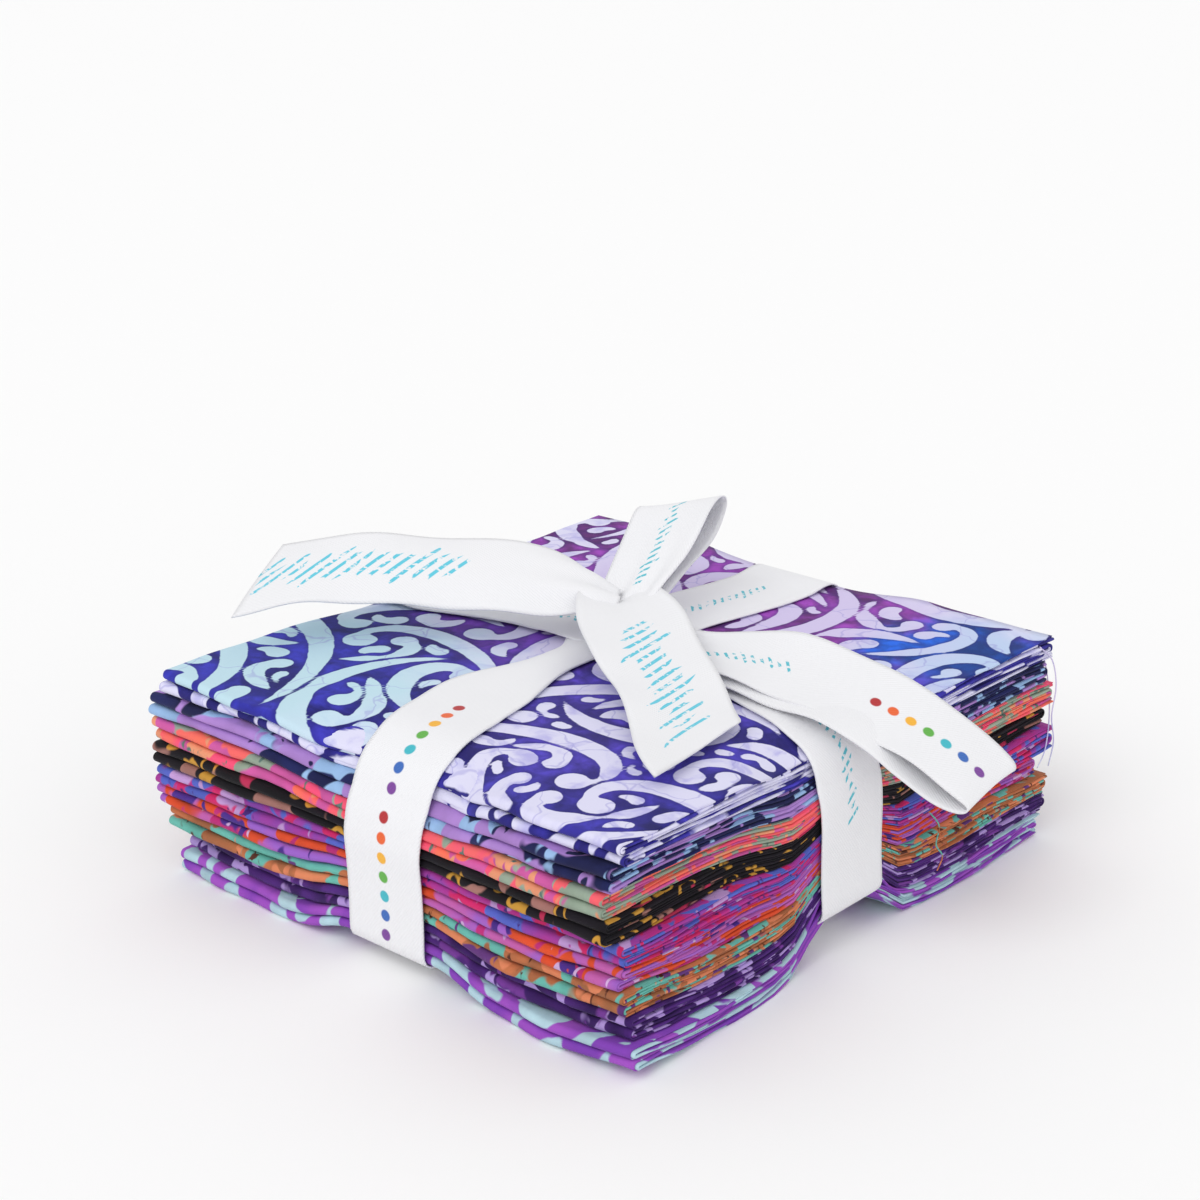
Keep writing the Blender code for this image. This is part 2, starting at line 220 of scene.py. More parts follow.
def side_offset(first, last, share, along):
    """How far an edge stands out: uneven away from the ribbon, even and drawn in beneath it."""
    held = bell(along)
    uneven = first + (last - first) * share
    return uneven * (1 - NIP_EVEN * held) - NIP_DRAW_IN * held


def place_on_cloth(cloth, x, y, z):
    """Moves points of the neat folded cloth to their places in the uneven, tied stack."""
    across, depth = x / STACK_X + 0.5, y / STACK_Y + 0.5
    near_top = ease(z / STACK_TOP, TOP_DRAW_FROM, 1.0) ** TOP_DRAW_POWER
    stands_out = {}
    for side, first, last, share, along in (
        ("left", "left_front", "left_back", depth, y),
        ("right", "right_front", "right_back", depth, y),
        ("front", "front_left", "front_right", across, x),
        ("back", "back_left", "back_right", across, x),
    ):
        drawn_in = TOP_DRAW_IN[side] * bell(along) * near_top
        stands_out[side] = side_offset(cloth[first], cloth[last], share, along) - drawn_in
    new_x = x + edge_share(x, STACK_X / 2) * np.where(x < 0, -stands_out["left"], stands_out["right"])
    new_y = y + edge_share(y, STACK_Y / 2) * np.where(y < 0, -stands_out["front"], stands_out["back"])
    return np.stack([new_x, new_y, settle(new_x, new_y, z)], axis=-1)


def wander(dice, along, amount):
    """A smooth uneven line along an edge, with bends 15 to 90 mm apart."""
    line = np.zeros_like(along)
    for reach, share in BENDS:
        turns = along / (reach * dice.uniform(0.85, 1.2)) + dice.uniform(0, 1)
        line += share * np.sin(2 * math.pi * turns)
    return amount * line


def places_across(half, step, edge_step):
    """Stations from one side to the other, closer together near both sides."""
    inner = half - SIDE_STRIP
    middle = np.linspace(-inner, inner, max(2, round(2 * inner / step)) + 1)
    edge = np.linspace(inner, half, max(2, round(SIDE_STRIP / edge_step)) + 1)[1:]
    return np.concatenate([-edge[::-1], middle, edge])


def folded_line(half, pitch, count, first_side, thick, clear, turns, steps):
    """A sheet folded back and forth, from the top: place, height, heading, end number, length so far."""
    step, edge_step, top_step = steps
    radius = pitch / 2
    reach = half - radius - thick / 2
    line = []
    for layer in range(count):
        height = (count - 1 - layer) * pitch
        side = first_side if layer % 2 == 0 else -first_side
        heading = math.pi if side < 0 else 0.0
        usual = top_step if layer == 0 else step
        first = -side * (half if layer == 0 else reach)
        last = side * (half if layer == count - 1 else reach)
        stations = side * places_across(half, usual, min(edge_step, usual))
        for x in (first, *stations[np.abs(stations) < reach - clear], last):
            line.append((x, height, heading, layer if x * side < 0 else layer + 1))
        if layer == count - 1:
            break
        for turn in math.pi * np.arange(1, turns) / turns:
            x = side * (reach + radius * math.sin(turn))
            line.append((x, height - radius * (1 - math.cos(turn)), heading - side * turn, layer + 1))
    line = np.array(line)
    return (*line[:, :3].T, line[:, 3].astype(int), distance_along(line[:, :2]))


def woven_mesh(name, grids):
    """One mesh from grids of points, with a plan in metres of where each point lies on the flat cloth."""
    corners, faces, plans = [], [], []
    layers = {key: [] for key in grids[0]["marks"]}
    start = 0
    for grid in grids:
        points = grid["points"]
        rows, columns = points.shape[:2]
        index = np.arange(rows * columns).reshape(rows, columns) + start
        patch = np.stack([index[:-1, :-1], index[:-1, 1:], index[1:, 1:], index[1:, :-1]], axis=-1)
        corners.append(points.reshape(-1, 3))
        plans.append(grid["plan"].reshape(-1, 2))
        faces.append(patch.reshape(-1, 4))
        for key in layers:
            layers[key].append(grid["marks"][key].reshape(-1))
        start += rows * columns
    corners, plans, faces = np.concatenate(corners) * MM, np.concatenate(plans) * MM, np.concatenate(faces)
    mesh = bpy.data.meshes.new(name)
    mesh.vertices.add(len(corners))
    mesh.vertices.foreach_set("co", corners.astype(np.float32).ravel())
    mesh.loops.add(faces.size)
    mesh.loops.foreach_set("vertex_index", faces.astype(np.int32).ravel())
    mesh.polygons.add(len(faces))
    mesh.polygons.foreach_set("loop_start", np.arange(0, faces.size, 4, dtype=np.int32))
    mesh.update(calc_edges=True)
    mesh.validate()
    plan = mesh.uv_layers.new(name="flat_cloth")
    plan.data.foreach_set("uv", plans[faces.ravel()].astype(np.float32).ravel())
    for key, values in layers.items():
        layer = mesh.attributes.new(key, "FLOAT", "POINT")
        layer.data.foreach_set("value", np.concatenate(values).astype(np.float32))
    mesh.shade_smooth()
    return mesh


def thick_cloth(name, grids, material, thickness):
    """A cloth piece from its grids, as thick as the real weave."""
    mesh = woven_mesh(name, grids)
    mesh.materials.append(material)
    piece = bpy.data.objects.new(name, mesh)
    bpy.context.scene.collection.objects.link(piece)
    body = piece.modifiers.new("Weave thickness", "SOLIDIFY")
    body.thickness = thickness * MM
    body.offset = 0.0
    return piece


# Scroll print: one stamp, repeated over the cloth as a printer's block is, as depth in the wax in mm.
STAMP = 150.0
STAMP_CELL = 0.5
STAMP_CELLS = round(STAMP / STAMP_CELL)
STAMP_SEED = 7
STAMP_SHIFT = 37.0
BARE = -20.0
DAB_REACH = 8.0
WAX_GAP = 1.25
# The strokes that fill the stamp in turn: tries, head radius, half width, longest length, hook radius.
STROKE_SIZES = (
    (24, (3.3, 3.9), (2.7, 3.3), (60.0, 95.0), (5.0, 6.2)),
    (110, (2.6, 3.2), (2.3, 3.0), (36.0, 60.0), (3.9, 4.9)),
    (420, (2.0, 2.5), (1.9, 2.5), (20.0, 38.0), (3.1, 4.1)),
    (600, (1.4, 1.8), (1.3, 1.8), (11.0, 22.0), (2.8, 3.9)),
)
STROKE_STEP = 0.8
STROKE_CLEAR = 0.5
STROKE_TIP = 0.35
PLACES_TRIED = 40
STARTS = 24
SLOW_TURN = (0.008, 0.045)
DAB_LEAST = 0.3
# A hook unwinds over this many of its radii, a neck is this many heads long, as is the shortest stroke,
# and a tail tapers at this rate.
UNWINDS = 2.6
NECK = 1.15
SHORTEST = 2.6
TAPER = 2.6


def stamp_value(stamp, u, v):
    """Depth in the wax at places on the cloth, read smoothly from the repeating stamp."""
    a, b = np.asarray(u) / STAMP_CELL, np.asarray(v) / STAMP_CELL
    i, j = np.floor(a).astype(int), np.floor(b).astype(int)
    s, t = a - i, b - j
    i, j = i % STAMP_CELLS, j % STAMP_CELLS
    k, l = (i + 1) % STAMP_CELLS, (j + 1) % STAMP_CELLS
    return ((stamp[i, j] * (1 - s) + stamp[k, j] * s) * (1 - t)
            + (stamp[i, l] * (1 - s) + stamp[k, l] * s) * t)


def press(stamp, u, v, radius):
    """Presses one round dab of wax into the stamp."""
    reach = int((radius + DAB_REACH) / STAMP_CELL)
    i, j = int(round(u / STAMP_CELL)), int(round(v / STAMP_CELL))
    rows, columns = np.arange(i - reach, i + reach + 1), np.arange(j - reach, j + reach + 1)
    away = np.hypot(rows[:, None] * STAMP_CELL - u, columns[None, :] * STAMP_CELL - v)
    cells = np.ix_(rows % STAMP_CELLS, columns % STAMP_CELLS)
    stamp[cells] = np.maximum(stamp[cells], radius - away)


def longest_hook(stamp, dice, u, v, length, hook):
    """The longest free path from a place that starts as a tight hook and slowly unwinds."""
    turn = np.where(np.arange(STARTS) % 2 == 0, 1.0, -1.0)
    heading = dice.uniform(0, 2 * math.pi) + np.arange(STARTS) * 2 * math.pi / STARTS * 1.5
    slow = turn * dice.uniform(*SLOW_TURN, STARTS)
    a, b = np.full(STARTS, u), np.full(STARTS, v)
    going = np.full(STARTS, True)
    steps = np.ones(STARTS, dtype=int)
    path = [(a, b)]
    for step in range(int(length / STROKE_STEP)):
        along = step * STROKE_STEP
        curl = turn / hook * math.exp(-(along / (UNWINDS * hook)) ** 2) + slow
        heading = heading + curl * STROKE_STEP
        a, b = a + STROKE_STEP * np.cos(heading), b + STROKE_STEP * np.sin(heading)
        going = going & (-stamp_value(stamp, a, b) > WAX_GAP + STROKE_CLEAR)
        steps = steps + going
        path.append((a, b))
        if not going.any():
            break
    best = int(np.argmax(steps))
    return np.array([(p[0][best], p[1][best]) for p in path[:steps[best]]])


def stroke_radii(stamp, spine, head, half):
    """Half widths along a stroke: round head, neck, full body and pointed tail, where there is room."""
    along = np.arange(len(spine)) * STROKE_STEP
    share = along / along[-1]
    body = half * np.sin(math.pi * share ** 0.8) ** 0.7
    neck = head * np.exp(-(along / (NECK * head)) ** 2)
    radii = np.maximum(np.maximum(body, neck), STROKE_TIP)
    radii = np.minimum(radii, STROKE_TIP + half * TAPER * (1 - share))
    room = -stamp_value(stamp, spine[:, 0], spine[:, 1]) - WAX_GAP
    radii = np.minimum(radii, np.maximum(room, 0.0))
    radii[1:-1] = (radii[:-2] + radii[1:-1] + radii[2:]) / 3
    return radii


def scroll_stamp():
    """A repeating stamp of hooked strokes, each with a round head and a long pointed tail."""
    dice = np.random.default_rng(STAMP_SEED)
    stamp = np.full((STAMP_CELLS, STAMP_CELLS), BARE)
    for tries, heads, halves, lengths, hooks in STROKE_SIZES:
        for _ in range(tries):
            head, half = dice.uniform(*heads), dice.uniform(*halves)
            length, hook = dice.uniform(*lengths), dice.uniform(*hooks)
            places = dice.uniform(0, STAMP, (PLACES_TRIED, 2))
            clear = -stamp_value(stamp, places[:, 0], places[:, 1])
            fits = np.flatnonzero(clear > head + WAX_GAP)
            if len(fits) == 0:
                continue
            pick = fits[np.argmin(clear[fits])]
            spine = longest_hook(stamp, dice, *places[pick], length, hook)
            if len(spine) * STROKE_STEP < SHORTEST * head:
                continue
            for (a, b), radius in zip(spine, stroke_radii(stamp, spine, head, half)):
                if radius > DAB_LEAST:
                    press(stamp, a, b, radius)
    for axis in (0, 1):
        stamp = (np.roll(stamp, 1, axis) + stamp + np.roll(stamp, -1, axis)) / 3
    return stamp


STAMP_MAP = scroll_stamp()


def add_node(tree, kind, settings=(), links=()):
    """Adds one node with its settings and incoming links. A node as a source means its first output."""
    node = tree.nodes.new("ShaderNode" + kind)
    for key, value in dict(settings).items():
        if isinstance(key, str) and hasattr(node, key):
            setattr(node, key, value)
        else:
            node.inputs[key].default_value = value
    for socket, source in dict(links).items():
        tree.links.new(source.outputs[0] if hasattr(source, "outputs") else source, node.inputs[socket])
    return node


# Sizes in mm of the creep at an edge of wax or of a pool of dye, the pool's uneven patches to a mm, and
# how far apart the cotton's threads lie.
WAX_CREEP = 5.0
POOL_CREEP = 44.0
POOL_WAVES = 0.045
THREAD_SPACING = 1 / 3


def cloth_base(name):
    """A material tree for woven cloth, with the flat cloth's plan in millimetres."""
    material = bpy.data.materials.new(name)
    material.use_nodes = True
    tree = material.node_tree
    plan = add_node(tree, "UVMap", {"uv_map": "flat_cloth"})
    plan_mm = add_node(tree, "VectorMath", {"operation": "SCALE", "Scale": 1 / MM}, {0: plan})
    return material, tree, tree.nodes["Principled BSDF"], plan_mm


def spread_past(tree, depth, level, soft):
    """One where a dye or ink has spread past a level, or short of it for a negative softness."""
    ends = {"From Min": level - soft, "From Max": level + soft}
    return add_node(tree, "MapRange", {"interpolation_type": "SMOOTHSTEP", **ends}, {"Value": depth})


def plan_at_size(tree, plan, size, shift):
    """The plan with one unit to this many millimetres, moved to a place of its own."""
    return add_node(tree, "Mapping",
                    {"vector_type": "POINT", "Location": shift, "Scale": (1 / size, 1 / size, 1.0)},
                    {"Vector": plan})


def bent_plan(tree, plan, size, shift, waves, detail, bend):
    """The same, bent by soft noise so that no line drawn on it runs true."""
    place = plan_at_size(tree, plan, size, shift)
    noise = add_node(tree, "TexNoise", {"Scale": waves, "Detail": detail}, {"Vector": place})
    return add_node(tree, "VectorMath", {"operation": "MULTIPLY_ADD", 1: (bend, bend, 0.0)},
                    {0: noise.outputs["Color"], 2: place})


def blotch(tree, plan, size, level, soft, seed, detail=2.0):
    """One where dye or wax has spread in uneven patches about this size across."""
    place = plan_at_size(tree, plan, size, (seed * 13.7, seed * 7.3, seed * 3.1))
    dye = add_node(tree, "TexNoise", {"Scale": 1.0, "Detail": detail, "Distortion": 0.6}, {"Vector": place})
    return spread_past(tree, dye, level, soft)


def rings(tree, plan, size, level, soft, seed):
    """One along small uneven rings, as a round stamp leaves them."""
    place = bent_plan(tree, plan, size, (seed * 5.3, seed * 11.9, 0.0), 1.7, 1.0, 0.5)
    cell = add_node(tree, "TexVoronoi", {"Scale": 1.0, "Randomness": 0.8}, {"Vector": place})
    off = add_node(tree, "Math", {"operation": "SUBTRACT", 1: 0.30}, {0: cell})
    wide = add_node(tree, "Math", {"operation": "ABSOLUTE"}, {0: off})
    return spread_past(tree, wide, level, -soft)


def veins(tree, plan, size, level, soft, seed):
    """One along thin joined lines, where dye has crept through cracks in the wax."""
    place = bent_plan(tree, plan, size, (seed * 9.1, seed * 2.7, 0.0), 2.2, 2.0, 0.6)
    cell = add_node(tree, "TexVoronoi", {"feature": "DISTANCE_TO_EDGE", "Scale": 1.0}, {"Vector": place})
    return spread_past(tree, cell, level, -soft)


def waxed(tree, plan, level, soft):
    """One inside the scroll stamp's wax, with the slightly uneven edge that hot wax leaves."""
    wax = add_node(tree, "Attribute", {"attribute_name": "wax"})
    creep = add_node(tree, "TexNoise", {"Scale": 1 / WAX_CREEP, "Detail": 3.0}, {"Vector": plan})
    edge = add_node(tree, "Math", {"operation": "MULTIPLY_ADD", 1: 0.8, 2: -0.4}, {0: creep})
    depth = add_node(tree, "Math", {"operation": "ADD"}, {0: wax.outputs["Fac"], 1: edge})
    return spread_past(tree, depth, level, soft)


def pool(tree, plan, place, reach, soft):
    """One where a dye was poured on the flat cloth, fading unevenly outward."""
    creep = add_node(tree, "TexNoise", {"Scale": POOL_WAVES, "Detail": 4.0, "Roughness": 0.6},
                     {"Vector": plan})
    moved = add_node(tree, "VectorMath", {"operation": "MULTIPLY_ADD", 1: (POOL_CREEP, POOL_CREEP, 0.0)},
                     {0: creep.outputs["Color"], 2: plan})
    middle = (place[0] + POOL_CREEP / 2, place[1] + POOL_CREEP / 2, 0.0)
    away = add_node(tree, "VectorMath", {"operation": "DISTANCE", 1: middle}, {0: moved})
    return spread_past(tree, away.outputs["Value"], reach, -soft)


MARKS = {"blotch": blotch, "rings": rings}
# Where a mark's dye has gathered: size, level and softness of the patches, and how bright it is there.
GATHERED = (9.0, 0.5, 0.3)
GATHERED_SHADE = 0.72


def over(tree, mask, under, dye):
    """Lays a dye over the colour so far. A mix takes its share at 0 and its two colours at 6 and 7."""
    return add_node(tree, "Mix", {"data_type": "RGBA", 7: srgb(dye)}, {0: mask, 6: under}).outputs[2]


def two_dyes(tree, mask, first, second):
    """One dye that runs into another where the mask is full."""
    return add_node(tree, "Mix", {"data_type": "RGBA", 6: srgb(first), 7: srgb(second)},
                    {0: mask}).outputs[2]


# Dyes poured on the top cloth: where on the flat cloth, how far they spread, how softly they end.
GROUND_POOLS = (
    ((70.0, 18.0), 62.0, 24.0, "#84399A"),
    ((125.0, 12.0), 52.0, 24.0, "#7E3494"),
    ((96.0, 72.0), 30.0, 20.0, "#5F2F90"),
    ((48.0, 100.0), 34.0, 26.0, "#4B3BA6"),
    ((12.0, 22.0), 19.0, 8.0, "#1652B8"),
    ((128.0, 130.0), 42.0, 24.0, "#2B2C96"),
)
WAX_POOLS = (
    ((125.0, 128.0), 46.0, 24.0, "#BEDCE8"),
    ((10.0, 22.0), 20.0, 12.0, "#BBD0EE"),
    ((70.0, 30.0), 50.0, 24.0, "#D2C6EA"),
)
# Washes that darken the ground unevenly: size, softness, seed, and brightness where thin and where full.
WASHES = ((15.0, 0.10, 14, 1.40, 0.58), (4.5, 0.16, 15, 1.22, 0.76))


def scroll_cotton(name):
    """Top cloth, batik: plain-woven cotton waxed with scrolls and dyed by hand, then boiled clean.

    The dye lies in cloudy pools, a little deeper along the wax, and has crept through cracks in it.
    """
    material, tree, shader, plan = cloth_base(name)
    deep = blotch(tree, plan, 16.0, 0.52, 0.16, 5, detail=4.0)
    ground = two_dyes(tree, deep, "#3A33A0", "#2C2884")
    pale = blotch(tree, plan, 8.0, 0.58, 0.10, 9, detail=4.0)
    wax = two_dyes(tree, pale, "#DCDAF2", "#B8B4E6")
    for place, reach, soft, dye in GROUND_POOLS:
        ground = over(tree, pool(tree, plan, place, reach, soft), ground, dye)
    for place, reach, soft, dye in WAX_POOLS:
        wax = over(tree, pool(tree, plan, place, reach, soft), wax, dye)
    for size, soft, seed, thin, full in WASHES:
        wash = blotch(tree, plan, size, 0.5, soft, seed, detail=5.0)
        uneven = add_node(tree, "MapRange", {"To Min": thin, "To Max": full}, {"Value": wash})
        ground = add_node(tree, "VectorMath", {"operation": "SCALE"}, {0: ground, "Scale": uneven})
    rim = add_node(tree, "Math", {"operation": "MULTIPLY", 1: 0.4}, {0: waxed(tree, plan, -0.7, 0.6)})
    ground = over(tree, rim, ground, "#231D6E")
    crackle = add_node(tree, "Math", {"operation": "MULTIPLY", 1: 0.4},
                       {0: veins(tree, plan, 19.0, 0.010, 0.008, 6)})
    wax = over(tree, crackle, wax, "#8F8AD2")
    colour = add_node(tree, "Mix", {"data_type": "RGBA"},
                      {0: waxed(tree, plan, 0.0, 0.14), 6: ground, 7: wax}).outputs[2]
    tree.links.new(colour, shader.inputs["Base Color"])
    finish_cotton(tree, shader, plan)
    return material


def batik_cotton(name, ground, second, mottle, marks):
    """The other cloths, batik: plain-woven cotton dyed in two uneven tones, then marked in turn.

    Each mark is (kind, size, level, soft, dye). Its dye lies unevenly, deeper where it has gathered.
    """
    material, tree, shader, plan = cloth_base(name)
    tone = blotch(tree, plan, mottle, 0.5, 0.14, len(name), detail=4.0)
    colour = two_dyes(tree, tone, ground, second)
    for number, (kind, size, level, soft, dye) in enumerate(marks):
        mask = (waxed(tree, plan, level, soft) if kind == "waxed"
                else MARKS[kind](tree, plan, size, level, soft, number + 3))
        uneven = blotch(tree, plan, *GATHERED, number + 20, detail=3.0)
        deeper = tuple(part * GATHERED_SHADE for part in srgb(dye)[:3]) + (1.0,)
        shade = add_node(tree, "Mix", {"data_type": "RGBA", 6: srgb(dye), 7: deeper}, {0: uneven})
        colour = add_node(tree, "Mix", {"data_type": "RGBA"},
                          {0: mask, 6: colour, 7: shade.outputs[2]}).outputs[2]
    tree.links.new(colour, shader.inputs["Base Color"])
    finish_cotton(tree, shader, plan)
    return material


def finish_cotton(tree, shader, plan):
    """Washed plain-woven cotton: quite matt, soft at a slant, with threads that only show close by."""
    for socket, value in (
        ("Roughness", 0.82),
        ("IOR", 1.46),
        ("Specular IOR Level", 0.25),
        ("Sheen Weight", 0.05),
        ("Sheen Roughness", 0.5),
    ):
        shader.inputs[socket].default_value = value
    threads = add_node(tree, "TexNoise", {"Scale": 1 / THREAD_SPACING, "Detail": 2.0}, {"Vector": plan})
    relief = add_node(tree, "Bump", {"Strength": 0.25, "Distance": 0.1 * MM}, {"Height": threads})
    tree.links.new(relief.outputs[0], shader.inputs["Normal"])


# Each cloth's two ground dyes, the size of their mottling, and the marks laid over them in turn.
PRINTS = {
    "cloth_2_navy": ("#171A45", "#20265C", 14.0, (
        ("blotch", 11.0, 0.56, 0.012, "#9FC3EE"),
        ("blotch", 15.0, 0.55, 0.012, "#B48AD6"),
        ("blotch", 5.0, 0.66, 0.02, "#1B1E4C"),
    )),
    "cloth_3_coral": ("#F5745B", "#F2527A", 22.0, (
        ("blotch", 10.0, 0.52, 0.012, "#9DAE9C"),
        ("blotch", 13.0, 0.57, 0.012, "#D75FA8"),
        ("blotch", 7.0, 0.62, 0.012, "#F7A37C"),
        ("blotch", 3.2, 0.66, 0.03, "#5F7C74"),
    )),
    "cloth_4_black": ("#0D0A10", "#16101A", 16.0, (
        ("rings", 7.0, 0.055, 0.02, "#D19A3C"),
        ("blotch", 13.0, 0.63, 0.012, "#A8766E"),
        ("blotch", 16.0, 0.66, 0.012, "#C4305A"),
    )),
    "cloth_5_magenta": ("#B62E86", "#8844A8", 15.0, (
        ("blotch", 12.0, 0.54, 0.012, "#5A69CC"),
        ("blotch", 9.0, 0.57, 0.012, "#D8286E"),
        ("blotch", 8.0, 0.64, 0.012, "#C9A0DC"),
        ("blotch", 3.0, 0.66, 0.03, "#4A2378"),
    )),
    "cloth_6_lilac": ("#9A62C6", "#C05FA8", 18.0, (
        ("blotch", 14.0, 0.53, 0.012, "#E6522C"),
        ("blotch", 9.0, 0.60, 0.012, "#C22E7C"),
        ("blotch", 8.0, 0.64, 0.012, "#4F2F92"),
        ("blotch", 6.0, 0.67, 0.012, "#D9B6E4"),
    )),
    "cloth_7_teal": ("#9C6240", "#C8744A", 14.0, (
        ("blotch", 11.0, 0.54, 0.012, "#6FC2B4"),
        ("blotch", 8.0, 0.59, 0.012, "#E88C62"),
        ("blotch", 6.0, 0.64, 0.012, "#6B3B84"),
        ("blotch", 3.0, 0.66, 0.03, "#5A2E20"),
    )),
    "cloth_8_plum": ("#2E1150", "#52267E", 14.0, (
        ("blotch", 7.0, 0.57, 0.015, "#B79ADE"),
        ("blotch", 10.0, 0.64, 0.015, "#7A3C9C"),
    )),
    "cloth_9_orchid": ("#A352C2", "#7E3FB0", 20.0, (
        ("waxed", 5.0, 0.55, 0.16, "#BCDDE8"),
    )),
}
# How far apart each cloth's mesh lines are: along X, along Y, near the sides, and on the uppermost ply.
FINE = {"cloth_1_scroll": (16.0, 12.0, 3.0, 0.93), "cloth_9_orchid": (7.0, 2.6, 2.4, 2.6)}
USUAL = (5.5, 5.5, 2.4, 5.5)
CLOTH_SEED = 100


# Loose threads that hang from a cloth's cut edge: places along each, how wide a thread is, the way its
# width lies, the dyes of which place on the flat cloth it shows, and how deep it was in the wax.
THREAD = 0.3
THREAD_STEPS = 6
THREAD_ACROSS = (0.6, -0.8, 0.0)
THREAD_PLACE = (90.0, 60.0)
THREAD_WAX = 5.0
LOOSE_THREADS = {
    "cloth_1_scroll": (
        ((70.0, -70.6, 50.0), (73.5, -72.0, 46.0), (75.2, -72.4, 39.0),
         (73.6, -72.6, 32.0), (75.4, -72.4, 25.0), (74.0, -72.2, 19.0)),
        ((74.6, -66.0, 49.6), (76.2, -68.0, 45.0), (76.8, -69.5, 37.0),
         (75.2, -71.0, 30.0), (72.0, -72.3, 24.0), (68.5, -72.6, 20.5)),
    ),
    "cloth_7_teal": (
        ((26.0, -71.2, 24.0), (28.5, -72.4, 20.0), (27.0, -72.8, 16.0),
         (30.0, -72.6, 12.0), (29.0, -72.0, 8.5)),
    ),
}


def loose_thread(table):
    """A thread as a narrow strip of the cloth, along its places."""
    middle = smooth_rows(table, THREAD_STEPS)
    across = np.array(THREAD_ACROSS) * THREAD / 2
    points = np.stack([middle - across, middle + across], axis=1)
    u, v = THREAD_PLACE
    plan = np.stack(np.meshgrid([u, u + THREAD], v + np.arange(len(middle))), axis=-1)
    return {"points": points, "plan": plan, "marks": {"wax": np.full(plan.shape[:2], THREAD_WAX)}}


def folded_cloth(cloth, number):
    """One cut cloth, folded in thirds and then back and forth in four, in its place in the stack."""
    dice = np.random.default_rng(CLOTH_SEED + number)
    step_x, step_y, *near = FINE.get(cloth["name"], USUAL)
    x, z, heading, end, length = folded_line(
        STACK_X / 2, LAYER_PITCH, LAYERS, -1, LAYER, FOLD_CLEAR, FOLD_STEPS, (step_x, *near))
    y, offset, _, _, width = folded_line(
        STACK_Y / 2, PLY_PITCH, PLIES, 1, 0.0, PLY_FOLD_CLEAR, PLY_FOLD_STEPS, (step_y, *near))
    offset = offset - PLY_PITCH
    base = (len(CLOTHS) - 1 - number) * CLOTH_PITCH + LAYER / 2
    grid_x = x[:, None] + np.sin(heading)[:, None] * offset[None, :]
    grid_z = base + z[:, None] - np.cos(heading)[:, None] * offset[None, :]
    grid_y = np.broadcast_to(y[None, :], grid_x.shape).copy()
    held_y, held_x = 1 - NIP_EVEN * bell(grid_y), 1 - NIP_EVEN * bell(grid_x)
    near_end = ease(np.abs(grid_x), STACK_X / 2 - END_REACH, STACK_X / 2) * np.sign(grid_x)
    for number_of_end in range(LAYERS + 1):
        line = wander(dice, grid_y, END_WANDER)
        grid_x += np.where((end == number_of_end)[:, None], line * near_end * held_y, 0.0)
    thirds = [width[part * len(width) // PLIES] for part in range(1, PLIES)]
    ply = np.searchsorted(thirds, width)
    for side in (-1, 1):
        near_side = ease(side * grid_y, STACK_Y / 2 - EDGE_REACH, STACK_Y / 2) * side
        edges = (0, 1, 1) if side < 0 else (0, 0, 1)
        for group in (0, 1):
            line = wander(dice, np.broadcast_to(length[:, None], grid_y.shape), EDGE_WANDER)
            chosen = np.array([edges[p] == group for p in ply])[None, :]
            grid_y += np.where(chosen, line * near_side * held_x, 0.0)
    points = place_on_cloth(cloth, grid_x, grid_y, grid_z)
    plan = np.stack(np.meshgrid(width, length), axis=-1)
    wax = stamp_value(STAMP_MAP, plan[..., 0] + STAMP_SHIFT * number, plan[..., 1])
    finish = cloth["name"].replace("cloth", "batik")
    print_of = PRINTS.get(cloth["name"])
    material = batik_cotton(finish, *print_of) if print_of else scroll_cotton(finish)
    grids = [{"points": points, "plan": plan, "marks": {"wax": wax}}]
    grids += [loose_thread(table) for table in LOOSE_THREADS.get(cloth["name"], ())]
    piece = thick_cloth("folded_" + cloth["name"], grids, material, COTTON)
    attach(piece, "root")
    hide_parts(cloth["name"])
    return piece, points.reshape(-1, 3)


# Ribbon: one length of twill tape. The band along Y is drawn narrower, as a ribbon cupped a little looks.
RIBBON_WIDTH = 23.0
CUPPED_WIDTH = 21.5
TWILL = 0.35
# A band's line: its step, how far it lies off the stack, how many steps its stiffness spans, the heights
# between which that comes in, how far a corner's push reaches, and how near the top it counts as on top.
BAND_STEP = 1.2
BAND_CLEAR = 0.75
BAND_STIFF = 15
BAND_STIFF_ABOVE = (24.0, 34.0)
PUSH_REACH = 6.0
TOP_MARGIN = 4.0
# The band along Y rises a little where it crosses the other.
RIDGE = 0.55
RIDGE_PLACE = 4.0
RIDGE_REACH = (14.0, 22.0)
# What the knot does to a band on top: how far it pulls the band aside, and by how much it gathers it
# narrower, with the places along the band where that sets in, is full, leaves and ends.
PULL_ALONG_X = (5.5, -68.0, -28.0, 20.0, 60.0)
PULL_ALONG_Y = (10.0, -74.0, -20.0, 24.0, 72.0)
GATHER_ALONG_X = (12.0, -38.0, -12.0, -6.0, 6.0)
GATHER_RISE = 0.12
